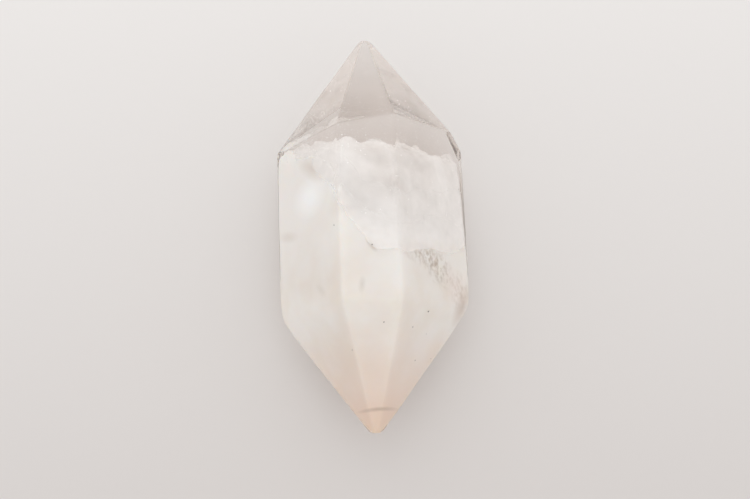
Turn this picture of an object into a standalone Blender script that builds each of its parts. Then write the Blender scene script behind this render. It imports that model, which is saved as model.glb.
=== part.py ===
"""A double terminated quartz crystal, polished, lying on its widest side.

The crystal is one body: a six-sided prism that ends in a six-sided pyramid at each end. It is cut from a
block, facet by facet, the way a stone is ground. Its long axis runs along Y with the clear end towards +Y,
its narrowest side looks up, and its widest side lies on the plane z = 0. Units are metres, +Z is up, and
the origin is under the middle of the crystal.
"""

import math

import bmesh
import bpy
from mathutils import Vector
from mathutils.geometry import intersect_line_plane, intersect_plane_plane

MM = 0.001

# Driving dimensions
AXIS_HEIGHT = 21.0 * MM  # the long axis above the side it lies on
BLOCK = 160.0 * MM  # the rough block that the facets are cut from
TIP_ROUNDING = 4.0 * MM  # radius that handling has left on both tips
TIP_LOSS = 2.4 * MM  # how far that rounding takes a tip back from the point where its facets would meet
TIP_FACETS = 8  # small facets round each tip that stand for the rounding
TIP_TILT = math.radians(27.0)  # how far they turn away from the long axis
EDGE_WEAR = 0.5 * MM  # width of the worn strip along every edge
EDGE_TURN = math.radians(25.0)  # the least turn between two facets whose edge is worn

# Each side of the prism, going round from the right: its outward direction in degrees from +X towards +Z,
# its distance from the long axis, and how far it leans out towards the -Y end, in degrees.
SIDES = {
    "right_lower": (-30.0, 28.05 * MM, 1.0),
    "right_upper": (30.8, 20.4 * MM, 1.0),
    "top": (90.0, 27.0 * MM, 0.4),
    "left_upper": (150.8, 21.15 * MM, -0.3),
    "left_lower": (209.5, 28.35 * MM, -0.3),
    "rest": (270.0, AXIS_HEIGHT, 0.0),
}

# Where each long edge ends, as its two sides and its levels along Y at the clear and the milky end.
EDGES = {
    ("right_lower", "right_upper"): (31.0 * MM, -22.0 * MM),
    ("right_upper", "top"): (29.2 * MM, -24.0 * MM),
    ("top", "left_upper"): (26.7 * MM, -23.4 * MM),
    ("left_upper", "left_lower"): (26.8 * MM, -24.3 * MM),
    ("left_lower", "rest"): (25.0 * MM, -25.0 * MM),
    ("rest", "right_lower"): (26.0 * MM, -24.0 * MM),
}

# The points where the six pyramid facets of each end would meet if the tips were sharp.
CLEAR_APEX = Vector((-1.0 * MM, 61.4 * MM, 22.0 * MM))
MILKY_APEX = Vector((-0.6 * MM, -61.4 * MM, 22.0 * MM))

# Worn corners at the milky end's rim: the long edge they are on, and how deep the wear goes.
WORN_CORNERS = {
    ("left_upper", "left_lower"): 0.9 * MM,
    ("right_lower", "right_upper"): 0.5 * MM,
}
WORN_TURN = math.radians(19.0)  # the wear faces half way between the prism's edge and the pyramid's

QUARTZ_COLOUR = (0.84, 0.80, 0.76, 1.0)
QUARTZ_IOR = 1.544


def side_plane(name):
    """A point on a side of the prism and the side's outward normal."""
    angle, distance, lean = SIDES[name]
    turn, tilt = math.radians(angle), math.radians(lean)
    outward = Vector((math.cos(turn), 0.0, math.sin(turn)))
    foot = Vector((0.0, 0.0, AXIS_HEIGHT)) + outward * distance
    normal = outward * math.cos(tilt) + Vector((0.0, math.sin(tilt), 0.0))
    return foot, normal


def edge_end(edge, level):
    """The point of a long edge at a level along Y."""
    (foot_a, normal_a), (foot_b, normal_b) = (side_plane(name) for name in edge)
    point, direction = intersect_plane_plane(foot_a, normal_a, foot_b, normal_b)
    level_point, along = Vector((0.0, level, 0.0)), Vector((0.0, 1.0, 0.0))
    return intersect_line_plane(point, point + direction, level_point, along)


def pyramid_planes(apex, end):
    """The six facets that run from an apex to the prism's rim; end picks the level, 0 clear or 1 milky."""
    rim = [edge_end(edge, levels[end]) for edge, levels in EDGES.items()]
    centre = Vector((0.0, 0.0, AXIS_HEIGHT))
    planes = []
    for here, there in zip(rim, rim[1:] + rim[:1]):
        normal = (here - apex).cross(there - apex).normalized()
        if normal.dot(apex - centre) < 0:
            normal.negate()
        planes.append((apex, normal))
    return planes


def tip_planes(apex):
    """Small facets tangent to a ball in the tip, which stand for its rounding."""
    along = 1.0 if apex.y > 0 else -1.0
    ball = apex - Vector((0.0, along * (TIP_LOSS + TIP_ROUNDING), 0.0))
    normals = [Vector((0.0, along, 0.0))]
    for step in range(TIP_FACETS):
        turn = math.tau * step / TIP_FACETS
        across = Vector((math.cos(turn), 0.0, math.sin(turn)))
        normals.append(across * math.sin(TIP_TILT) + normals[0] * math.cos(TIP_TILT))
    return [(ball + normal * TIP_ROUNDING, normal) for normal in normals]


def corner_planes():
    """One small facet on each worn corner at the milky end's rim."""
    planes = []
    for edge, depth in WORN_CORNERS.items():
        corner = edge_end(edge, EDGES[edge][1])
        normal = Vector((corner.x, -abs(corner.x) * math.tan(WORN_TURN), 0.0)).normalized()
        planes.append((corner - normal * depth, normal))
    return planes


def cut(block, point, normal):
    """Grinds away everything beyond a plane and closes the body with the new facet."""
    everything = block.verts[:] + block.edges[:] + block.faces[:]
    found = bmesh.ops.bisect_plane(
        block, geom=everything, plane_co=point, plane_no=normal, dist=1e-7, clear_outer=True
    )
    rim = [item for item in found["geom_cut"] if isinstance(item, bmesh.types.BMEdge)]
    if rim:
        bmesh.ops.contextual_create(block, geom=rim)


def quartz_material():
    """Clear quartz with a faint warm tint."""
    material = bpy.data.materials.new("quartz")
    material.use_nodes = True
    shader = material.node_tree.nodes["Principled BSDF"]
    shader.inputs["Base Color"].default_value = QUARTZ_COLOUR
    shader.inputs["Metallic"].default_value = 0.0
    shader.inputs["Roughness"].default_value = 0.08
    shader.inputs["IOR"].default_value = QUARTZ_IOR
    shader.inputs["Transmission Weight"].default_value = 1.0
    material.diffuse_color = QUARTZ_COLOUR
    return material


def make_crystal(collection):
    """The whole crystal, as one closed body of flat facets."""
    block = bmesh.new()
    bmesh.ops.create_cube(block, size=BLOCK)
    bmesh.ops.translate(block, verts=block.verts, vec=(0.0, 0.0, AXIS_HEIGHT))
    planes = [side_plane(name) for name in SIDES]
    planes += pyramid_planes(CLEAR_APEX, 0) + pyramid_planes(MILKY_APEX, 1)
    planes += tip_planes(CLEAR_APEX) + tip_planes(MILKY_APEX) + corner_planes()
    for point, normal in planes:
        cut(block, point, normal)
    bmesh.ops.recalc_face_normals(block, faces=block.faces)
    mesh = bpy.data.meshes.new("crystal")
    block.to_mesh(mesh)
    block.free()

    crystal = bpy.data.objects.new("crystal", mesh)
    collection.objects.link(crystal)
    mesh.materials.append(quartz_material())
    wear = crystal.modifiers.new("edge wear", "BEVEL")
    wear.width = EDGE_WEAR
    wear.segments = 2
    wear.limit_method = "ANGLE"
    wear.angle_limit = EDGE_TURN
    return crystal


def main():
    for item in list(bpy.data.objects):
        bpy.data.objects.remove(item, do_unlink=True)
    collection = bpy.data.collections.new("double_terminated_quartz")
    bpy.context.scene.collection.children.link(collection)
    make_crystal(collection)


main()
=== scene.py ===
# %% [markdown]
# # A double terminated quartz crystal
# This lesson finishes one polished quartz crystal. The CAD model already fixes its size, its facets and the
# side that it lies on. Here the same body gets smooth worn edges and clear quartz to look into. Inside it
# are made the white milk that fills two thirds of it, the haze, the healed cracks and the dark specks. The
# first cell loads the CAD model and notes its box, which later bounds where the haze grains are thrown.

# %% Load the frame
import math
from functools import partial

import bpy
import numpy as np
from mathutils import Matrix, Vector


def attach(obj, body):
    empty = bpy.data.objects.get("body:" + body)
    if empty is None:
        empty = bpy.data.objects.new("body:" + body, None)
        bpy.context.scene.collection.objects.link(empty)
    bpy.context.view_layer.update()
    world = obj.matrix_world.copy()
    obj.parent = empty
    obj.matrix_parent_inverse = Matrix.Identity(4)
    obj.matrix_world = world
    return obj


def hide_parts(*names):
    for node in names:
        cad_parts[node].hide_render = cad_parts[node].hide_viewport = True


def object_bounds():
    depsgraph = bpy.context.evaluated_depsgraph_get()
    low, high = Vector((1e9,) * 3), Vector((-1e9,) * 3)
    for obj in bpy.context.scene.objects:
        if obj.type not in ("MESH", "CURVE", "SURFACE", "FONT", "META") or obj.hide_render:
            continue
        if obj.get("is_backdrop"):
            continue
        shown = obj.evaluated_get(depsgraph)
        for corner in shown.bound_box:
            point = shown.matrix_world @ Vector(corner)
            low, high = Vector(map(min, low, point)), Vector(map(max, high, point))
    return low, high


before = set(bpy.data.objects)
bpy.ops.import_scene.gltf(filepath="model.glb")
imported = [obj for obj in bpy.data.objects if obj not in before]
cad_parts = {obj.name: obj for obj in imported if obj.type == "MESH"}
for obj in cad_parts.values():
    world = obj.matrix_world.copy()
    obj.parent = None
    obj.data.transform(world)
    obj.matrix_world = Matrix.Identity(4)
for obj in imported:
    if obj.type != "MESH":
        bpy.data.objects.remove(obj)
CAD_LOW, CAD_HIGH = (list(corner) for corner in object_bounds())
MM = 0.001
print("CAD box in mm:", [round(value / MM, 1) for value in CAD_LOW + CAD_HIGH])

# %% [markdown]
# ## The view
# The crystal lies on its widest side, so the camera looks down on it. It stands a little to the side of the
# milky end, which lets the top of the body lean away from it, as in the reference. The elevation, the
# distance and a slight roll are plain numbers, and the camera's axes are built from them with vectors. A
# constraint that tracks an empty would aim it too, but then the roll would be hard to state.

# %% Camera
ELEVATION = math.radians(79.5)
ROLL = math.radians(-1.6)
DISTANCE = 450 * MM
LENS = 73.2  # focal length in mm
AIM = Vector((0.56, -5.05, 22.0)) * MM
NEAREST_SEEN = 10 * MM

forward = Vector((0.0, math.cos(ELEVATION), -math.sin(ELEVATION)))
level_right = Vector((1.0, 0.0, 0.0))
level_up = Vector((0.0, math.sin(ELEVATION), math.cos(ELEVATION)))
right = level_right * math.cos(ROLL) + level_up * math.sin(ROLL)
up = level_up * math.cos(ROLL) - level_right * math.sin(ROLL)

camera = bpy.data.objects.new("camera", bpy.data.cameras.new("camera"))
camera.data.lens = LENS
camera.data.clip_start = NEAREST_SEEN
camera.matrix_world = Matrix((right, up, -forward)).transposed().to_4x4()
camera.location = AIM - forward * DISTANCE
bpy.context.scene.collection.objects.link(camera)
bpy.context.scene.camera = camera
print("camera in mm:", [round(value / MM, 1) for value in camera.location])

# %% [markdown]
# ## Meshes from arrays
# Every new shape below is an array of points worked out by a formula. Blender takes such arrays in through
# foreach_set, so one helper turns points and faces into a mesh object. They could also be built vertex by
# vertex with bmesh, which is slower and would hide the formulas in loops.

# %% Mesh from arrays
def add_mesh(name, points, faces, smooth=True):
    """Makes a mesh object from an array of points and a list of face arrays, each with equal face sizes."""
    mesh = bpy.data.meshes.new(name)
    corners = np.concatenate([part.ravel() for part in faces]).astype(np.int32)
    sizes = np.concatenate([np.full(len(part), part.shape[1]) for part in faces]).astype(np.int32)
    starts = np.concatenate([[0], np.cumsum(sizes)[:-1]]).astype(np.int32)
    mesh.vertices.add(len(points))
    mesh.vertices.foreach_set("co", np.asarray(points, np.float32).ravel())
    mesh.loops.add(len(corners))
    mesh.loops.foreach_set("vertex_index", corners)
    mesh.polygons.add(len(sizes))
    mesh.polygons.foreach_set("loop_start", starts)
    mesh.polygons.foreach_set("loop_total", sizes)
    mesh.update(calc_edges=True)
    mesh.polygons.foreach_set("use_smooth", np.full(len(sizes), smooth))
    thing = bpy.data.objects.new(name, mesh)
    bpy.context.scene.collection.objects.link(thing)
    print(name, "has", len(points), "points and", len(sizes), "faces")
    return thing

# %% [markdown]
# ## A grid that closes into a body
# The points of a long crystal make a grid: rows along it and columns round it. The faces between them are
# the same for every such grid, so they are listed once, as whole arrays. The last column meets the first,
# and one more point at each tip closes the body with a fan of triangles. A tip made of a whole row of
# points in one place would look the same but leave faces without area.

# %% Faces of a closed grid
def closed_faces(rows, columns):
    """Faces of rows x columns points that close round, with one more point before them and one after.

    Point 1 + row * columns + column is joined to its neighbours in the next row and the next column, where
    the column after the last one is the first. The order of the corners makes the faces look outwards.
    """
    row, column = np.meshgrid(np.arange(rows - 1), np.arange(columns), indexing="ij")
    here, beside = 1 + row * columns + column, 1 + row * columns + (column + 1) % columns
    quads = np.stack([here, here + columns, beside + columns, beside], -1).reshape(-1, 4)
    ring = np.arange(columns)
    turned = (ring + 1) % columns
    last_row = 1 + (rows - 1) * columns
    first_fan = np.stack([np.zeros(columns, int), 1 + ring, 1 + turned], -1)
    last_fan = np.stack([np.full(columns, 1 + rows * columns), last_row + turned, last_row + ring], -1)
    return [quads, first_fan, last_fan]


print("a grid of 3 rows and 4 columns closes with", [len(part) for part in closed_faces(3, 4)], "faces")

# %% [markdown]
# ## Smooth noise
# Nothing that grew is quite even. The unevenness of the polish, the milk and the veils comes from one
# formula, a sum of sine waves in random directions. It is smooth everywhere, it has about one wavelength,
# and the same seed always gives the same lumps. A Displace modifier with a texture could do this too, but
# then the formulas below couldn't ask how far a point is from the lumpy surface.

# %% Ripple
WAVES = 12
WAVE_SPREAD = (0.6, 1.4)  # each wave is from so many to so many times as dense as asked for


def ripple(points, wavelength, seed):
    """Smooth noise, mostly from -1 to 1: the sum of sin(wave . point + phase), over sqrt(2 x waves)."""
    draw = np.random.default_rng(seed)
    ways = draw.normal(size=(WAVES, 3))
    spread = draw.uniform(*WAVE_SPREAD, WAVES)
    ways *= (math.tau / wavelength * spread / np.linalg.norm(ways, axis=1))[:, None]
    phases = draw.uniform(0, math.tau, WAVES)
    return np.sin(points @ ways.T + phases).sum(-1) / math.sqrt(WAVES * 2)


line = np.linspace((0, -50 * MM, 0), (0, 50 * MM, 0), 200)
print("a ripple along the crystal reaches", round(float(np.abs(ripple(line, 10 * MM, 1)).max()), 2))

# %% [markdown]
# ## The facets, read back from the CAD model
# A polished crystal is the space inside a set of planes. The CAD mesh holds exactly those planes, so they
# are collected from its triangles: the ones that look the same way and lie equally far out are of one
# plane, and their areas are added up. Typing the planes in again would be shorter, but they could drift
# apart from the CAD model. Only planes with a large area are kept, which are the six sides and the six
# facets of each end. The small planes of the worn edges, tips and corners are left out, because the next
# cells wear those places more smoothly.

# %% Triangles of the CAD crystal
CENTRE = np.array([0.0, 0.0, 22.0]) * MM  # a point deep inside, level with both tips
NO_AREA = 1e-15  # keeps a triangle without area from dividing by zero

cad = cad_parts["crystal"].data
cad.calc_loop_triangles()
cad_points = np.zeros(len(cad.vertices) * 3)
cad.vertices.foreach_get("co", cad_points)
cad_corners = np.zeros(len(cad.loop_triangles) * 3, int)
cad.loop_triangles.foreach_get("vertices", cad_corners)
triangles = cad_points.reshape(-1, 3)[cad_corners].reshape(-1, 3, 3)
crosses = np.cross(triangles[:, 1] - triangles[:, 0], triangles[:, 2] - triangles[:, 0])
areas = np.linalg.norm(crosses, axis=1) / 2
outward = crosses / (2 * areas[:, None] + NO_AREA)
reaches = ((triangles[:, 0] - CENTRE) * outward).sum(1)
print(len(triangles), "triangles in the CAD crystal")

# %% Facet planes
LARGE_FACET = 100 * MM**2
STEPS_OF_WAY = 200  # outward directions are compared in steps of 1 / 200
STEP_OF_REACH = 0.1 * MM

rounded = np.round(np.column_stack([outward * STEPS_OF_WAY, reaches / STEP_OF_REACH])).astype(int)
_, first, group = np.unique(rounded, axis=0, return_index=True, return_inverse=True)
large = np.bincount(group.ravel(), weights=areas) > LARGE_FACET
facet_ways, facet_reaches = outward[first][large], reaches[first][large]
print(len(facet_ways), "large facets")

# %% [markdown]
# ## Corners of the sharp crystal
# Where three facets meet there is a corner, which is the solution of their three plane equations. The
# corners of both rims and the two apexes are all that is needed to lay a grid over the crystal. They could
# be read off the CAD mesh, but there every corner is already worn away.

# %% Rims and apexes
END_LEAN = 0.1  # a facet whose outward direction has more than this along Y belongs to an end


def ring_of(chosen):
    """Numbers of the chosen facets, in order of their angle round the long axis."""
    found = np.flatnonzero(chosen)
    return found[np.argsort(np.arctan2(facet_ways[found, 2], facet_ways[found, 0]))]


def meeting(*facets):
    """The point where three facets meet: the solution of three plane equations."""
    return CENTRE + np.linalg.solve(facet_ways[list(facets)], facet_reaches[list(facets)])


sides = ring_of(np.abs(facet_ways[:, 1]) < END_LEAN)
clear_end = ring_of(facet_ways[:, 1] > END_LEAN)
milky_end = ring_of(facet_ways[:, 1] < -END_LEAN)
next_sides = np.roll(sides, -1)
clear_rim = np.array([meeting(*three) for three in zip(sides, next_sides, clear_end)])
milky_rim = np.array([meeting(*three) for three in zip(sides, next_sides, milky_end)])
clear_apex, milky_apex = meeting(*clear_end[::2]), meeting(*milky_end[::2])
print("rims along the axis in mm:", (clear_rim[:, 1] / MM).round(1), (milky_rim[:, 1] / MM).round(1))
print("apexes in mm:", (clear_apex / MM).round(1), (milky_apex / MM).round(1))

# %% [markdown]
# ## One formula for every body in the crystal
# The outer surface and the milk inside it have the same facets. Their surfaces are where a smooth "how far
# outside am I" value is zero. For each plane that value is the distance beyond it, and the values of all
# planes are joined with a soft maximum. A softness of a tenth of a millimetre gives a crisp polished edge,
# and a larger one near a battered corner gives a rounded one. A Bevel modifier could round the edges too,
# but its width changes along an edge only where weights are painted on, and here a formula changes it.

# %% Soft maximum
def soft_maximum(values, softness):
    """Softness times the log of the sum of exp(value / softness), over the last axis.

    The largest value is taken off before and added again after, which keeps exp from overflowing.
    """
    top = values.max(-1)
    softness = np.broadcast_to(softness, top.shape)
    return top + softness * np.log(np.exp((values - top[..., None]) / softness[..., None]).sum(-1))


print("where two facets meet, a softness of 1 mm wears", soft_maximum(np.zeros(2), 1.0).round(2), "mm")

# %% [markdown]
# ## Worn tips
# Both tips have been knocked and polished to a little ball. A ball's own "how far outside" value would cut
# away the whole crystal beyond the ball. So it is only kept near the ball's front, and fades towards the
# back. A vertex Bevel rounds a point too, but not the ends of the six edges that run into it.

# %% Beyond a tip
BALL_RADIUS = 4.0 * MM
BALL_LOSS = 2.3 * MM  # how far the ball's front is behind the sharp apex
BALL_CAP = math.radians(50)
NO_LENGTH = 1e-12  # keeps the ball's own middle from dividing by zero


def beyond_tip(points, apex):
    """How far points lie outside the ball that a tip is worn to.

    The value is the distance from the ball's middle, times the cosine of the angle past its cap, less its
    radius. Towards the back it is less than zero, so the ball only cuts the tip.
    """
    along = np.sign(apex[1])
    arm = points - (apex - np.array([0.0, along * (BALL_LOSS + BALL_RADIUS), 0.0]))
    length = np.linalg.norm(arm, axis=-1)
    angle = np.arccos(np.clip(arm[..., 1] * along / (length + NO_LENGTH), -1, 1))
    return length * np.cos(np.clip(angle - BALL_CAP, 0, math.pi)) - BALL_RADIUS


print("the clear apex is", (beyond_tip(clear_apex, clear_apex) / MM).round(2), "mm outside its ball")

# %% [markdown]
# ## The whole crystal as one value
# The planes and both tips now join into one value for any point. Taking an inset off every plane at once
# gives a smaller crystal inside the first, with the same facets, and that is what the milk and the haze
# follow. Scaling a copy of the mesh would move its facets by unequal amounts.

# %% Beyond the facets
def beyond_facets(points, softness, inset=0.0):
    """How far points lie outside the crystal in metres, less than zero inside.

    The value is the soft maximum of the distances beyond all planes and both tips, plus the inset that the
    crystal is made smaller by.
    """
    distances = (points - CENTRE) @ facet_ways.T - facet_reaches
    tips = [beyond_tip(points, apex) for apex in (clear_apex, milky_apex)]
    return soft_maximum(np.concatenate([distances, np.stack(tips, -1)], -1), softness) + inset


print("the centre is", (-beyond_facets(CENTRE, 0.1 * MM) / MM).round(1), "mm inside the nearest facet")

# %% [markdown]
# ## A grid that fits the edges
# A mesh shows an edge well only where it has points close to it. So the grid is laid over the sharp crystal
# first, with straight blends between corners, and its points crowd at the six long edges and at both rims.
# An even grid would need many times the points for edges as crisp.

# %% Guide rows
COLUMN_CROWDING = 0.9  # 0 spaces points evenly, and close to 1 crowds them at both ends
SIDE_CROWDING = 0.85
END_CROWDING = 0.8


def eased(count, pull):
    """Numbers from 0 to 1 that crowd at both ends: t less pull times sin(2 pi t) / 2 pi."""
    t = np.linspace(0.0, 1.0, count)
    return t - pull * np.sin(math.tau * t) / math.tau


def round_rim(rim, share):
    """Points along a rim's six straight edges: each corner, plus share of the way to the next one."""
    corners = zip(np.roll(rim, 1, 0), rim)
    return np.concatenate([start + (end - start) * share for start, end in corners])


def guide_rows(columns, end_rows, side_rows):
    """Points of the sharp crystal as rows x 6 columns x 3, each a straight blend between corners of a facet.

    Columns run round it and crowd at its six long edges. Rows run from the milky tip over both rims to the
    clear tip, and crowd at the rims.
    """
    share = eased(columns + 1, COLUMN_CROWDING)[:-1, None]
    round_clear, round_milky = round_rim(clear_rim, share), round_rim(milky_rim, share)
    end_share = eased(end_rows + 1, END_CROWDING)[1:-1, None, None]
    side_share = eased(side_rows + 1, SIDE_CROWDING)[:, None, None]
    milky_part = milky_apex + (round_milky - milky_apex) * end_share
    side_part = round_milky + (round_clear - round_milky) * side_share
    clear_part = round_clear + (clear_apex - round_clear) * end_share
    return np.concatenate([milky_part, side_part, clear_part])


print("shares of an edge in 8 steps:", eased(9, COLUMN_CROWDING).round(3))

# %% [markdown]
# ## Fitting the grid to a body
# Each point of the grid now slides along the ray from a middle inside the body, until the body's value is
# zero there. Halving the stretch that holds the zero finds it for all points at once, and 26 halvings are
# finer than the numbers in a mesh. Marching cubes would find the same surface without rays, but its
# triangles cut across the edges. Rays only work for a body that a middle point can see all of, which these
# are.

# %% Fit and close
def fit_to(function, guide, middle, furthest=1.02, halvings=26):
    """Moves guide points along rays from middle to where function is zero, by halving the stretch it is in.

    The stretch starts as 0 to furthest times the way to the guide point.
    """
    rays = guide - middle
    near, far = np.zeros(rays.shape[:-1]), np.full(rays.shape[:-1], furthest)
    for _ in range(halvings):
        half = (near + far) / 2
        outside = function(middle + rays * half[..., None]) > 0
        near, far = np.where(outside, near, half), np.where(outside, half, far)
    return middle + rays * near[..., None]


def closed_surface(name, function, middle, columns, end_rows, side_rows):
    """The closed surface where function is zero, as a mesh object that faces outwards."""
    grid = fit_to(function, guide_rows(columns, end_rows, side_rows), middle)
    poles = fit_to(function, np.stack([milky_apex, clear_apex]), middle)
    points = np.concatenate([poles[:1], grid.reshape(-1, 3), poles[1:]])
    return add_mesh(name, points, closed_faces(*grid.shape[:2]))

# %% [markdown]
# ## The outer surface
# Polishing leaves faces that are almost flat. They dip by about a tenth of a millimetre at most, which is
# enough to make what is seen through them wander. The swells between the dips hardly rise above the CAD
# facets, so that the crystal doesn't sink into what it lies on. The two widest corners of the milky end are
# battered, so the softness grows near them. A bump in the material could bend the light as well, but a
# shape is kept wherever the part is used.

# %% Crystal surface
EDGE_SOFTNESS = 0.11 * MM
CORNER_SOFTNESS = 0.45 * MM  # added at a battered corner
WORN_REACH = 7 * MM  # how far from a battered corner its wear fades out
DIP = 0.04 * MM
DIP_LENGTH = 17 * MM
DIP_SEED = 5

left_corner = milky_rim[np.argmin(milky_rim[:, 0])]
right_corner = milky_rim[np.argmax(milky_rim[:, 0])]


def softness_at(points):
    """Edge softness plus a bell round each battered corner: exp of minus (distance / reach) squared."""
    softness = np.full(points.shape[:-1], EDGE_SOFTNESS)
    for corner in (left_corner, right_corner):
        away = np.linalg.norm(points - corner, axis=-1) / WORN_REACH
        softness = softness + CORNER_SOFTNESS * np.exp(-(away**2))
    return softness


def beyond_surface(points):
    """How far points lie outside the polished surface: the facets with worn edges, plus shallow dips."""
    dips = DIP * (ripple(points, DIP_LENGTH, DIP_SEED) + 1)
    return beyond_facets(points, softness_at(points)) + dips


surface = closed_surface("quartz_surface", beyond_surface, CENTRE, columns=46, end_rows=78, side_rows=110)

# %% [markdown]
# ## Where the milk ends
# Countless microscopic bubbles, trapped while the crystal grew, make its lower two thirds white. The milk's
# upper boundary is high on the left, drops to the right in one smooth step, and is lumpy like a cloud. A
# volume of scattering would be closest to nature, but it renders slowly and an exported model loses it.

# %% Milk level
LEVEL_MIDDLE = 12.5  # mm along Y, half way down the step
LEVEL_DROP = 13.5  # mm from there to its top and to its foot
STEP_ACROSS = -9.0  # mm along X where the step is
STEP_WIDTH = 6.5  # mm
LEVEL_TILT = 0.15  # how much lower the level gets for each mm of height
TILT_HEIGHT = 22.0  # mm above the floor, where that tilt changes nothing
CLOUD_LUMPS = ((0.6, 16 * MM), (0.3, 7 * MM), (0.15, 3 * MM))  # share and length of each ripple


def milk_level(points):
    """Level along Y where the milk ends: middle less drop times tanh(distance past the step / width)."""
    across, height = points[..., 0] / MM, points[..., 2] / MM
    step = LEVEL_MIDDLE - LEVEL_DROP * np.tanh((across - STEP_ACROSS) / STEP_WIDTH)
    return (step - LEVEL_TILT * (height - TILT_HEIGHT)) * MM


def cloud(points, seed):
    """Lumps from about -1 to 1: the sum of share times ripple over the three lengths."""
    lumps = enumerate(CLOUD_LUMPS)
    return sum(share * ripple(points, length, seed + number) for number, (share, length) in lumps)


ends = np.array([(-20.0, 0.0, 22.0), (20.0, 0.0, 22.0)]) * MM
print("the milk ends at", (milk_level(ends) / MM).round(1), "mm on the left and the right")

# %% [markdown]
# ## Milk
# From outside the milk looks like one soft white body just under the polish. So it is one closed body: the
# crystal made a little smaller, cut off by a lumpy lid at the level above. The same function makes the
# haze's layers later, with more inset and a lid raised into the clear end. There the lid is squeezed, so
# that the haze stays out of the very tip. Cutting with a Boolean modifier would leave a sharp rim where the
# lid meets the sides, and the soft maximum rounds it.

# %% Milk body
MILK_INSET = 0.35 * MM
MILK_SOFTNESS = 0.4 * MM
LID_SOFTENING = 4  # the milk's softness times this rounds its upper rim
LID_SHARE = 0.6  # below 1 the lid's value grows slower than a facet's, and rounds more
LUMP = 2.5 * MM
LUMP_SEED = 9
HAZE_TOP = 22 * MM  # a raised lid is squeezed above this level
SQUEEZE = 0.15


def beyond_milk(points, inset=MILK_INSET, raised=0.0, seed=LUMP_SEED):
    """How far points lie outside a milky body.

    The value is the soft maximum of the distance beyond the crystal made smaller by inset, and a share of
    the height above the lid, which is the milk's level raised and made lumpy.
    """
    level = milk_level(points) + raised
    if raised > 0:
        level = np.minimum(level, HAZE_TOP + SQUEEZE * (level - HAZE_TOP))
    lid = points[..., 1] - level + LUMP * cloud(points, seed)
    body = beyond_facets(points, MILK_SOFTNESS, inset)
    return soft_maximum(np.stack([body, lid * LID_SHARE], -1), MILK_SOFTNESS * LID_SOFTENING)


milk_middle = np.array([0.0, -20.0, 22.0]) * MM
milk = closed_surface("milk", beyond_milk, milk_middle, columns=26, end_rows=70, side_rows=70)

# %% [markdown]
# ## Tiny solids
# Both the haze and the specks need many small closed bodies. A tetrahedron is the smallest closed solid
# there is, with four points and four faces, so thousands of them stay a light mesh. Each is turned at
# random and a little uneven, so that no two catch the light alike. Instanced spheres would be rounder, but
# at a tenth of a millimetre nobody can tell.

# %% Tetrahedra
SPOKES = np.array([(1, 1, 1), (1, -1, -1), (-1, 1, -1), (-1, -1, 1)]) / math.sqrt(3)
SPOKE_FACES = ((0, 2, 1), (0, 1, 3), (0, 3, 2), (1, 2, 3))
SPOKE_STRETCH = (0.5, 1.5)


def tetrahedra(name, centres, sizes, draw):
    """One mesh of closed tetrahedra: each corner is its centre plus size times stretch times a turned spoke.

    The turn is a random rotation matrix, from the QR parts of a matrix of normal draws.
    """
    turns, _ = np.linalg.qr(draw.normal(size=(len(centres), 3, 3)))
    turns *= np.sign(np.linalg.det(turns))[:, None, None]
    arms = np.einsum("kj,nij->nki", SPOKES, turns) * sizes[:, None, None]
    points = (centres[:, None] + arms * draw.uniform(*SPOKE_STRETCH, (len(centres), 4, 1))).reshape(-1, 3)
    start = np.arange(len(centres))[:, None] * 4
    faces = np.concatenate([start + np.array(face) for face in SPOKE_FACES])
    return add_mesh(name, points, [faces], smooth=False)

# %% [markdown]
# ## Haze grains
# The milk doesn't end at once. Above it float small clots that get rarer upwards. Points are thrown at
# random into the crystal's box, and each is kept with a chance that falls off with its height above the
# milk and is larger in wispy places. Geometry Nodes could scatter them too, but only with even chances or
# with this same formula rebuilt out of nodes.

# %% Haze grains
GRAINS = 9000
GRAIN_SEED = 21
GRAIN_THROWS = 1_600_000
LOWEST_THROW = -12 * MM
DEEPEST_GRAIN = -1 * MM  # just below the milk's level
GRAIN_REACH = 9 * MM  # the chance falls to about a third over this height
WISP_SEED, WISP_GAIN, WISP_BASE = 31, 1.6, 0.35
BARE_CHANCE = 0.15  # what is left of the chance where there is no wisp
GRAIN_SIZE, GRAIN_VARIETY = 0.10, 0.35  # mm, and the spread of the size's logarithm
SEALED_SOFTNESS = 0.2 * MM
SEALED_INSET = 0.8 * MM  # least depth of the veils and of the grains' middles below the facets

draw = np.random.default_rng(GRAIN_SEED)
throws = draw.uniform(CAD_LOW, CAD_HIGH, (GRAIN_THROWS, 3))
throws = throws[throws[:, 1] > LOWEST_THROW]
above = throws[:, 1] - milk_level(throws) + LUMP * cloud(throws, LUMP_SEED)
wispy = np.clip(cloud(throws, WISP_SEED) * WISP_GAIN + WISP_BASE, 0, 1)
chance = np.exp(-np.clip(above, 0, None) / GRAIN_REACH) * (BARE_CHANCE + wispy)
lucky = (above > DEEPEST_GRAIN) & (draw.uniform(0, 1, len(throws)) < chance)
throws = throws[lucky]
places = throws[beyond_facets(throws, SEALED_SOFTNESS, SEALED_INSET) < 0]
print(len(places), "places for haze grains, of which", GRAINS, "are used")
places = places[:GRAINS]
sizes = np.exp(draw.normal(math.log(GRAIN_SIZE), GRAIN_VARIETY, len(places))) * MM
grains = tetrahedra("haze_grains", places, sizes, draw)

# %% [markdown]
# ## Veils
# Cracks that healed while the crystal was still growing are left as thin wavy sheets of bubbles. Each is a
# disc of rings round a middle, with an uneven outline, pushed in and out along its normal by the same
# smooth noise. Parts that would reach through the polish are drawn back inside. A plane with a Displace
# modifier would make one veil, but eight of them are shorter as one formula.

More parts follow.
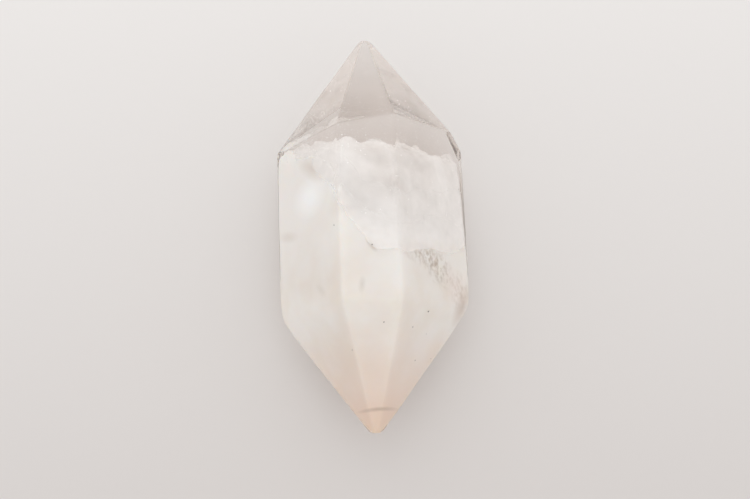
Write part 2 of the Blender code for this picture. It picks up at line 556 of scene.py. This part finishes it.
# %% One veil
VEIL_RINGS, VEIL_COLUMNS = 24, 48
INNER_RING = 0.04  # share of the radius left open in the middle, so that no face there is a sliver
OUTLINE_DEPTH, OUTLINE_LENGTH, OUTLINE_SEED = 0.25, 1.3, 3
OUTLINE_SHIFT = 100  # times a veil's place across, so that each has its own outline
WAVE_LENGTH = 12 * MM
WAVE_SEED, WAVE_SEED_STEP = 3, 7  # the step is for each mm across


def sheet(middle, normal, across, along, bend):
    """Points and faces of a thin wavy disc; middle, across, along and bend are in mm.

    A point is middle + u side + v other + w normal. Here u and v are the radius times the cosine and the
    sine of the angle, times an outline that varies round the disc, and w is bend times smooth noise.
    """
    normal = np.array(normal, float) / np.linalg.norm(normal)
    side = np.cross(normal, (0.0, 1.0, 0.0))
    side = side / np.linalg.norm(side)
    other = np.cross(normal, side)
    radius = np.linspace(INNER_RING, 1, VEIL_RINGS)[:, None]
    angle = np.linspace(0, math.tau, VEIL_COLUMNS, endpoint=False)[None]
    circle = np.stack([np.cos(angle), np.sin(angle), 0 * angle], -1)
    shift = middle[0] * OUTLINE_SHIFT
    outline = 1 + OUTLINE_DEPTH * ripple(circle + shift, OUTLINE_LENGTH, OUTLINE_SEED)
    u = radius * np.cos(angle) * outline * across * MM
    v = radius * np.sin(angle) * outline * along * MM
    flat = np.array(middle) * MM + u[..., None] * side + v[..., None] * other
    wave = ripple(flat, WAVE_LENGTH, int(abs(middle[0] * WAVE_SEED_STEP)) + WAVE_SEED)
    points = flat + (bend * MM * wave)[..., None] * normal
    grid = np.arange(VEIL_RINGS * VEIL_COLUMNS).reshape(VEIL_RINGS, VEIL_COLUMNS)
    turned = np.roll(grid, -1, 1)
    faces = np.stack([grid[:-1], grid[1:], turned[1:], turned[:-1]], -1).reshape(-1, 4)
    return points.reshape(-1, 3), faces

# %% [markdown]
# ## All veils in one mesh
# The eight veils differ in place, slope, size and waviness, and nothing else, so they are rows of a table.
# They share a material and are never seen apart, so one mesh holds them all.

# %% Veils
VEILS = [  # middle in mm, normal, half width, half length and waviness in mm
    ((-17, 14, 20), (0.3, 0.4, 0.8), 9, 13, 1.0),
    ((-8, 8, 30), (-0.4, 0.2, 0.9), 9, 12, 1.2),
    ((6, 12, 16), (0.5, 0.6, 0.6), 12, 10, 1.2),
    ((14, 4, 18), (-0.6, 0.5, 0.6), 9, 12, 1.0),
    ((0, 16, 34), (0.1, -0.3, 0.9), 10, 7, 0.8),
    ((10, 0, 34), (0.3, 0.1, 0.9), 9, 9, 1.2),
    ((-4, 4, 12), (0.0, 0.5, 0.8), 12, 9, 1.2),
    ((18, 10, 24), (0.8, 0.2, 0.5), 7, 9, 0.8),
]

sheets = [sheet(*veil) for veil in VEILS]
veil_points = np.concatenate([points for points, _ in sheets])
veil_faces = np.concatenate([faces + number * len(points) for number, (points, faces) in enumerate(sheets)])

beyond_sealed = partial(beyond_facets, softness=SEALED_SOFTNESS, inset=SEALED_INSET)
drawn_back = fit_to(beyond_sealed, veil_points, CENTRE, furthest=1.0, halvings=20)
outside = beyond_sealed(veil_points) > 0
print(int(outside.sum()), "veil points are drawn back inside")
veils = add_mesh("veils", np.where(outside[:, None], drawn_back, veil_points), [veil_faces])

# %% [markdown]
# ## Haze layers
# Between the clots the haze itself is a soft glow that thins out upwards. Three closed layers stand for it,
# each deeper inside the crystal and reaching higher into the clear end than the one before. Their material
# lets about half of the light through, so where they lie over each other the haze looks thicker. One layer
# with a gradient would look like painted glass when seen from the side.

# %% Haze layers
HAZE_LAYERS = ((0.6, 8.0), (1.0, 16.0), (1.6, 24.0))  # inset, and height above the milk's level, in mm
HAZE_SEED, HAZE_SEED_STEP = 40, 5

layers = []
for number, (inset, raised) in enumerate(HAZE_LAYERS):
    seed = HAZE_SEED + HAZE_SEED_STEP * number
    beyond_layer = partial(beyond_milk, inset=inset * MM, raised=raised * MM, seed=seed)
    name = f"haze_{number + 1}"
    layers.append(closed_surface(name, beyond_layer, milk_middle, columns=16, end_rows=34, side_rows=40))

# %% [markdown]
# ## Specks
# A few dark mineral grains lie at the polish, and they show as tiny sharp dots on the milk. Their middles
# are just below it, and corners of most of them just reach through. Each has a place across and along the
# crystal, and its height is worked out from the facets, so that it is as deep under whichever facet is over
# it. Dots in the milk's material would be simpler, but they would blur.

# %% Specks
SPECK_DEPTH = 0.35 * MM
SPECKS = [  # across, along, size, in mm
    (-10.7, -2.0, 0.30), (26.2, 13.8, 0.26), (15.2, -25.6, 0.34), (-6.6, -36.5, 0.32), (11.2, -38.6, 0.22),
    (16.0, -37.4, 0.20), (2.4, -29.6, 0.30), (10.6, -30.2, 0.24), (14.6, -31.3, 0.20), (-0.2, -8.4, 0.26),
]
LOOKS_UP = 0.1  # a facet whose outward direction has more than this along Z looks up


def under_polish(across, along, depth):
    """The point this deep below the polished top at a place: the lowest of all facets that look up there."""
    looks_up = facet_ways[:, 2] > LOOKS_UP
    ways, reaches = facet_ways[looks_up], facet_reaches[looks_up]
    level = ((reaches - ways[:, 0] * across - ways[:, 1] * along) / ways[:, 2]).min()
    return np.array([across, along, level + CENTRE[2] - depth])


speck_places = np.array([under_polish(across * MM, along * MM, SPECK_DEPTH) for across, along, _ in SPECKS])
speck_sizes = np.array([size for *_, size in SPECKS]) * MM
specks = tetrahedra("mineral_specks", speck_places, speck_sizes, draw)

# %% [markdown]
# ## Helpers for materials
# A material is a tree of nodes. The helpers here make a tree with its Principled shader, and give sockets
# their values. A value can be a plain number, or another node's output, which becomes a link. Writing a
# shader's inputs as a dictionary keeps each finish readable in one place.

# %% Material helpers
def new_material(name):
    """A new material, its node tree and its Principled shader."""
    material = bpy.data.materials.new(name)
    material.use_nodes = True
    print("material", name)
    return material, material.node_tree, material.node_tree.nodes["Principled BSDF"]


def feed(tree, socket, value):
    """Gives a socket its value: a link when the value is another node's output, or else the value itself."""
    if isinstance(value, bpy.types.NodeSocket):
        tree.links.new(value, socket)
    else:
        socket.default_value = value


def set_inputs(tree, node, values):
    """Feeds a node's inputs from a dictionary of socket names and values."""
    for name, value in values.items():
        feed(tree, node.inputs[name], value)

# %% [markdown]
# ## Clear quartz
# Polished quartz lets light in and bends it by its index of refraction, 1.544. The thicker it is, the
# warmer it looks, so a volume of plain absorption takes a little light away with every centimetre, and blue
# most of all. A tinted Base Color would tint thin and thick places alike. What lies inside would get dark
# if shadow rays and scattered light had to find their way through the bending surface. So for those two
# kinds of ray only, the surface is swapped for a plain transparent one.

# %% Quartz
QUARTZ_IOR = 1.544
POLISH = 0.02  # roughness
PASSED_LIGHT = (0.98, 0.98, 0.98, 1)
WARMTH = (0.58, 0.31, 0.125, 1)
WARMTH_DENSITY = 3.4  # for each metre

quartz, tree, shader = new_material("quartz")
set_inputs(tree, shader, {
    "Base Color": (1, 1, 1, 1),
    "Metallic": 0.0,
    "Transmission Weight": 1.0,
    "IOR": QUARTZ_IOR,
    "Roughness": POLISH,
})
clear = tree.nodes.new("ShaderNodeBsdfTransparent")
set_inputs(tree, clear, {"Color": PASSED_LIGHT})
light_path = tree.nodes.new("ShaderNodeLightPath")
seen = shader.outputs[0]
for ray in ("Is Shadow Ray", "Is Diffuse Ray"):
    swap = tree.nodes.new("ShaderNodeMixShader")  # its inputs are a factor and two shaders
    feed(tree, swap.inputs[0], light_path.outputs[ray])
    feed(tree, swap.inputs[1], seen)
    feed(tree, swap.inputs[2], clear.outputs[0])
    seen = swap.outputs[0]
absorption = tree.nodes.new("ShaderNodeVolumeAbsorption")
set_inputs(tree, absorption, {"Color": WARMTH, "Density": WARMTH_DENSITY})
set_inputs(tree, tree.nodes["Material Output"], {"Surface": seen, "Volume": absorption.outputs[0]})
surface.data.materials.append(quartz)

# %% [markdown]
# ## Patterns that stay on the piece
# The patterns below read Object coordinates, which are metres from the crystal's own origin. They stay on
# the crystal when it is moved, and they run through its whole depth, so that a pattern goes round an edge
# without a seam. A UV map would have to be unwrapped, and it would break at every seam.

# %% Pattern helpers
MIX_FACTOR, MIX_FIRST, MIX_SECOND, MIX_COLOUR = 0, 6, 7, 2  # a Mix node's sockets when it mixes colours


def object_place(tree):
    """The place being shaded, in the piece's own coordinates."""
    return tree.nodes.new("ShaderNodeTexCoord").outputs["Object"]


def noise(tree, scale, detail, place=(0, 0, 0)):
    """Noise of this scale, with its pattern shifted by place in metres."""
    mapping = tree.nodes.new("ShaderNodeMapping")
    set_inputs(tree, mapping, {"Vector": object_place(tree), "Location": place})
    texture = tree.nodes.new("ShaderNodeTexNoise")
    set_inputs(tree, texture, {"Vector": mapping.outputs["Vector"], "Scale": scale, "Detail": detail})
    return texture.outputs[0]


def ramp(tree, value, low, high, low_to, high_to):
    """Map Range: low to high becomes low_to to high_to in a straight line, and beyond them it stays."""
    node = tree.nodes.new("ShaderNodeMapRange")
    settings = {"Value": value, "From Min": low, "From Max": high, "To Min": low_to, "To Max": high_to}
    set_inputs(tree, node, settings)
    return node.outputs["Result"]


def tint(tree, base, colour, factor):
    """Mixes colour into base: base times (1 - factor) plus colour times factor."""
    mix = tree.nodes.new("ShaderNodeMix")
    mix.data_type = "RGBA"
    feed(tree, mix.inputs[MIX_FIRST], base)
    feed(tree, mix.inputs[MIX_SECOND], colour)
    feed(tree, mix.inputs[MIX_FACTOR], factor)
    return mix.outputs[MIX_COLOUR]


def product(tree, first, second):
    """First times second."""
    node = tree.nodes.new("ShaderNodeMath")
    node.operation = "MULTIPLY"
    feed(tree, node.inputs[0], first)
    feed(tree, node.inputs[1], second)
    return node.outputs[0]

# %% [markdown]
# ## Effects used by more than one material
# The milk and the floor both change tone along the crystal, and all haze materials have the same wisps.
# Such an effect is a node group with named inputs, built once and placed in each material with its own
# values. It could be copied into each material instead, but then a later change would have to be made many
# times.

# %% Node group helpers
def new_group(name, inputs, output):
    """An empty node group: its inputs as a dictionary of names and socket types, and one number put out."""
    group = bpy.data.node_groups.new(name, "ShaderNodeTree")
    for socket, kind in inputs.items():
        group.interface.new_socket(socket, in_out="INPUT", socket_type=kind)
    group.interface.new_socket(output, in_out="OUTPUT", socket_type="NodeSocketFloat")
    print("node group", name, "with", list(inputs), "gives", output)
    return group, group.nodes.new("NodeGroupInput").outputs, group.nodes.new("NodeGroupOutput").inputs


def place_group(tree, group, values):
    """Places a node group in a tree with its own values, and gives back its output."""
    node = tree.nodes.new("ShaderNodeGroup")
    node.node_tree = group
    set_inputs(tree, node, values)
    return node.outputs[0]

# %% [markdown]
# ## Fade along the crystal
# This group is 0 at one level along Y and grows in a straight line to its most at another level. The end
# may lie on either side of the start, so the same group fades towards either tip.

# %% Fade group
NUMBER = "NodeSocketFloat"
VECTOR = "NodeSocketVector"

fade, given, result = new_group("fade along", {"Start": NUMBER, "End": NUMBER, "Most": NUMBER}, "Fade")
apart = fade.nodes.new("ShaderNodeSeparateXYZ")
feed(fade, apart.inputs[0], object_place(fade))
faded = ramp(fade, apart.outputs["Y"], given["Start"], given["End"], 0.0, given["Most"])
feed(fade, result["Fade"], faded)

# %% [markdown]
# ## Milk: its colour
# The milk isn't one white. Faint clouds run through it and it gets paler towards the clear end. Towards the
# milky tip it is painted darker and warmer, which is painted shade and a painted warm reflection. Each is
# one step of mixing over the colour so far. The tones could be painted on a texture, but then they would end
# at the milk's surface and not follow its lumps.

# %% Milk colour
MILK_SHADE = (0.79, 0.72, 0.65, 1)
MILK_LIGHT = (0.835, 0.79, 0.745, 1)
MILK_PALE = (0.865, 0.83, 0.795, 1)
# painted shade and painted warm reflection: the milk gets darker and warmer towards the milky tip
MILK_TIP_SHADE = (0.72, 0.52, 0.40, 1)
PALE_FADE = {"Start": -16 * MM, "End": 4 * MM, "Most": 0.8}
TIP_SHADE_FADE = {"Start": -28 * MM, "End": -60 * MM, "Most": 0.9}
CLOUD_SCALE, CLOUD_DETAIL, CLOUD_EDGES = 70.0, 3.0, (0.35, 0.65)

milk_material, milk_tree, milk_shader = new_material("milk")
clouds = ramp(milk_tree, noise(milk_tree, CLOUD_SCALE, CLOUD_DETAIL), *CLOUD_EDGES, 0.0, 1.0)
look = tint(milk_tree, MILK_SHADE, MILK_LIGHT, clouds)
pale = place_group(milk_tree, fade, PALE_FADE)
look = tint(milk_tree, look, MILK_PALE, pale)
# painted shade and painted warm reflection, growing towards the milky tip
tip_shade = place_group(milk_tree, fade, TIP_SHADE_FADE)
look = tint(milk_tree, look, MILK_TIP_SHADE, tip_shade)
print("milk goes from", MILK_SHADE[:3], "to", MILK_TIP_SHADE[:3], "at its tip")

# %% [markdown]
# ## Milk: the stained vein
# A crack reaches the surface on the right, and dirt has crept into its crumbled edges. Three long blots
# that overlap give its course, and a fine noise breaks them into crumbs. A blot is a ball of falling value,
# stretched to three radii. One painted stripe would have an even edge, which a crack hasn't.

# %% Vein
VEIN_COLOUR = (0.52, 0.44, 0.37, 1)
CRUMB_SCALE, CRUMB_DETAIL, CRUMB_SHIFT, CRUMB_EDGES = 640.0, 5.0, (2, 0, 0), (0.42, 0.66)
VEIN_BLOTS = [  # middle and radii in mm, turn about the vertical in degrees, strength
    ((12.5, -9.5, 38), (12, 4.0, 14), -10, 0.9),
    ((18.5, -12.0, 31), (10, 5.5, 14), -42, 1.2),
    ((25.0, -18.0, 19), (4.0, 7.0, 12), 0, 0.8),
]


def blot(tree, middle, radii, turn):
    """1 at middle, falling to 0 on the ellipsoid with these radii in mm, turned about the vertical."""
    mapping = tree.nodes.new("ShaderNodeMapping")
    mapping.vector_type = "TEXTURE"
    set_inputs(tree, mapping, {
        "Vector": object_place(tree),
        "Location": np.array(middle) * MM,
        "Rotation": (0, 0, math.radians(turn)),
        "Scale": np.array(radii) * MM,
    })
    ball = tree.nodes.new("ShaderNodeTexGradient")
    ball.gradient_type = "SPHERICAL"
    feed(tree, ball.inputs["Vector"], mapping.outputs["Vector"])
    return ball.outputs["Fac"]


crumb_noise = noise(milk_tree, CRUMB_SCALE, CRUMB_DETAIL, CRUMB_SHIFT)
crumbs = ramp(milk_tree, crumb_noise, *CRUMB_EDGES, 0.0, 1.0)
for middle, radii, turn, strength in VEIN_BLOTS:
    mask = product(milk_tree, blot(milk_tree, middle, radii, turn), crumbs)
    look = tint(milk_tree, look, VEIN_COLOUR, product(milk_tree, mask, strength))
print("the vein has", len(VEIN_BLOTS), "blots")

# %% [markdown]
# ## Milk: single marks
# The rest is what makes it this one crystal: a crack across the milky tip, a bright cloud, and a few smudges
# and stains. One more blot makes a darker band along the lower right shoulder. Each is one blot with its own
# colour. They could be separate sheets inside the milk, but it lets hardly any light through, so that only
# their colour at its surface would show.

# %% Marks
MARKS = {  # middle and radii in mm, turn about the vertical in degrees, colour, strength
    "crack at the tip": ((0.5, -52.4, 28), (8.5, 0.75, 14), 4, (0.36, 0.25, 0.19, 1), 0.55),
    "bright cloud": ((-17.5, 9.0, 31), (8, 6.5, 14), 0, (0.95, 0.93, 0.91, 1), 1.3),
    "shade above it": ((-17.0, 17.5, 32), (3.0, 8.0, 14), 38, (0.70, 0.63, 0.58, 1), 1.0),
    "shade on the top side": ((-6.5, 4.0, 46), (7.0, 4.5, 14), 15, (0.74, 0.68, 0.63, 1), 0.9),
    "stain on the left": ((-25.5, 0.0, 22), (4.5, 2.0, 12), -20, (0.66, 0.58, 0.50, 1), 0.55),
    "smudge in the middle": ((-0.4, -8.0, 48), (1.1, 3.2, 12), 30, (0.55, 0.48, 0.42, 1), 0.8),
    "smudge below it": ((-3.3, -19.5, 48), (1.2, 2.8, 6), -8, (0.60, 0.54, 0.48, 1), 0.5),
    "smudge on the left": ((-15.0, -19.0, 37), (1.2, 3.2, 7), 35, (0.62, 0.56, 0.50, 1), 0.4),
    # a darker band along the lower right shoulder
    "darker band on the right shoulder": ((25.5, -22.0, 16), (2.4, 7.5, 12), -22, (0.55, 0.45, 0.38, 1), 0.8),
    "reddish patch": ((24, -17, 22), (8, 7, 9), 0, (0.80, 0.62, 0.55, 1), 0.35),
}

for middle, radii, turn, colour, strength in MARKS.values():
    mask = product(milk_tree, blot(milk_tree, middle, radii, turn), strength)
    look = tint(milk_tree, look, colour, mask)
print("marks:", ", ".join(MARKS))

# %% [markdown]
# ## Milk: its finish
# Light scatters over some millimetres in the milk before it comes out again, red light the furthest.
# Subsurface scattering does that. The milk doesn't shine, because it has no surface of its own: quartz lies
# on both sides of its boundary, so its index of refraction is 1 and it is fully rough.

# %% Milk finish
MILK_SCATTER = 0.6
SCATTER_RADIUS = (1.0, 0.8, 0.6)  # for red, green and blue, as shares of the distance below
SCATTER_DISTANCE = 8 * MM

set_inputs(milk_tree, milk_shader, {
    "Base Color": look,
    "Roughness": 1.0,
    "IOR": 1.0,
    "Subsurface Weight": MILK_SCATTER,
    "Subsurface Radius": SCATTER_RADIUS,
    "Subsurface Scale": SCATTER_DISTANCE,
})
milk.data.materials.append(milk_material)
print("red light scatters over about", SCATTER_DISTANCE / MM, "mm in the milk")

# %% [markdown]
# ## Grains and specks
# A clot of bubbles is plain matt white, and a mineral speck is dark brown. Both are too small for a pattern
# to show, so each has one even finish.

# %% Grain and speck materials
grain_material, tree, shader = new_material("haze grain")
set_inputs(tree, shader, {"Base Color": (0.97, 0.97, 0.97, 1), "Roughness": 1.0, "Specular IOR Level": 0.0})
grains.data.materials.append(grain_material)

dark_material, tree, shader = new_material("dark mineral")
set_inputs(tree, shader, {"Base Color": (0.12, 0.09, 0.07, 1), "Roughness": 0.7})
specks.data.materials.append(dark_material)

# %% [markdown]
# ## Wisps
# The haze is uneven in the way smoke is. This group turns noise into an alpha between a thin share of the
# opacity and all of it. Each material places it with its own shift, so that no two layers have their wisps
# in the same spot.

# %% Wisp group
WISP_SCALE, WISP_DETAIL, WISP_EDGES = 60.0, 3.0, (0.25, 0.65)
THIN_SHARE = 0.35

wisps, given, result = new_group("wisps", {"Place": VECTOR, "Opacity": NUMBER}, "Alpha")
wisp_noise = noise(wisps, WISP_SCALE, WISP_DETAIL, given["Place"])
thin = product(wisps, given["Opacity"], THIN_SHARE)
feed(wisps, result["Alpha"], ramp(wisps, wisp_noise, *WISP_EDGES, thin, given["Opacity"]))

# %% [markdown]
# ## Haze
# The layers and the veils are matt and warm white, and partly see-through. In real haze light is scattered
# many times and comes out again, which a few thin layers can't do, so they glow very faintly in its place.
# More layers would need less of this, but every layer costs time in each pixel.

# %% Haze materials
HAZE_COLOUR = (0.96, 0.93, 0.905, 1)
HAZE_GLOW = (1.0, 0.92, 0.86, 1)
HAZE_GLOW_STRENGTH = 0.06
HAZE_FINISHES = [  # piece, opacity, shift of its wisps in metres
    (layers[0], 0.6, (1, 0, 0)),
    (layers[1], 0.6, (0, 1, 0)),
    (layers[2], 0.55, (0, 0, 1)),
    (veils, 0.3, (1, 1, 0)),
]

for number, (piece, opacity, place) in enumerate(HAZE_FINISHES):
    haze, tree, shader = new_material(f"haze {number + 1}")
    set_inputs(tree, shader, {
        "Base Color": HAZE_COLOUR,
        "Roughness": 1.0,
        "Specular IOR Level": 0.0,
        "Emission Color": HAZE_GLOW,
        "Emission Strength": HAZE_GLOW_STRENGTH,
        "Alpha": place_group(tree, wisps, {"Place": place, "Opacity": opacity}),
    })
    piece.data.materials.append(haze)

# %% [markdown]
# ## What stands for what
# The new surface takes the place of the plain CAD crystal, which stays for its weight and for contact with
# other things. It carries the record's quartz finish. The crystal has one body, so every piece rides on it.

# %% Bodies and slots
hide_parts("crystal")
pieces = [surface, milk, grains, specks, veils] + layers
for piece in pieces:
    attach(piece, "root")
print("riding on root:", [piece.name for piece in pieces])

# %% [markdown]
# ## The floor
# The crystal lies on a pale matt floor. Its colour is painted lighter behind the clear end and darker
# towards the milky end, as painted light and shade. It isn't part of the crystal, so it is marked as stage.
# It is a hair lower than the CAD crystal, which leaves room for the swells of the polish. Its tone could
# come from a second lamp, but that would light the crystal too.

# %% Floor
FLOOR_HALF = 3.0
FLOOR_GAP = 0.03 * MM
# painted shade towards the milky end and painted light behind the clear end
FLOOR_PAINTED_SHADE = (0.66, 0.615, 0.59, 1)
FLOOR_PAINTED_LIGHT = (0.83, 0.795, 0.77, 1)
FLOOR_LIGHT_FADE = {"Start": -110 * MM, "End": 80 * MM, "Most": 1.0}

square = np.array([(-1, -1, 0), (1, -1, 0), (1, 1, 0), (-1, 1, 0)], float)
floor = add_mesh("floor", square * FLOOR_HALF - (0, 0, FLOOR_GAP), [np.array([(0, 1, 2, 3)])])
floor_material, tree, shader = new_material("floor")
# painted light and shade on the floor, lighter towards the clear end
painted_floor_light = place_group(tree, fade, FLOOR_LIGHT_FADE)
set_inputs(tree, shader, {
    "Base Color": tint(tree, FLOOR_PAINTED_SHADE, FLOOR_PAINTED_LIGHT, painted_floor_light),
    "Roughness": 0.9,
    "Specular IOR Level": 0.1,
})
floor.data.materials.append(floor_material)
floor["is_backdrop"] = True

# %% [markdown]
# ## Light
# The crystal is lit evenly from all round, as in a bright room under an overcast sky, so most of the light
# is the world itself. One large weak lamp behind the clear end gives its facets a direction. A strong lamp
# would throw a hard shadow and a spot of glare, and the reference has neither.

# %% Light
SKY = (0.98, 0.99, 1.0, 1)
SKY_STRENGTH = 0.98
KEY_PLACE = Vector((-0.1, 0.5, 0.7))
KEY_TARGET = Vector((0.0, 0.0, 0.02))
KEY_SIZE = 0.7
KEY_WATTS = 0.45

world = bpy.data.worlds.new("studio")
bpy.context.scene.world = world
world.use_nodes = True
set_inputs(world.node_tree, world.node_tree.nodes["Background"], {"Color": SKY, "Strength": SKY_STRENGTH})

key = bpy.data.lights.new("key", "AREA")
key.shape = "SQUARE"
key.size = KEY_SIZE
key.energy = KEY_WATTS
lamp = bpy.data.objects.new("key", key)
lamp.location = KEY_PLACE
lamp.rotation_euler = (KEY_TARGET - KEY_PLACE).to_track_quat("-Z", "Y").to_euler()
bpy.context.scene.collection.objects.link(lamp)
print("the key lamp is", round((KEY_TARGET - KEY_PLACE).length, 2), "m away")

# %% [markdown]
# ## Render settings
# Light may cross the polished surface, three layers, several veils and many grains before it comes back
# out, so it may bounce often. With fewer bounces the deep places turn black. Caustics are off, since they
# would only add bright noise, and the Standard view keeps colours as they are mixed above.

# %% Render settings
BOUNCES = 48

scene = bpy.context.scene
scene.view_settings.view_transform = "Standard"
scene.cycles.max_bounces = BOUNCES
scene.cycles.transmission_bounces = BOUNCES
scene.cycles.transparent_max_bounces = BOUNCES
scene.cycles.caustics_reflective = False
scene.cycles.caustics_refractive = False
print("up to", BOUNCES, "bounces")
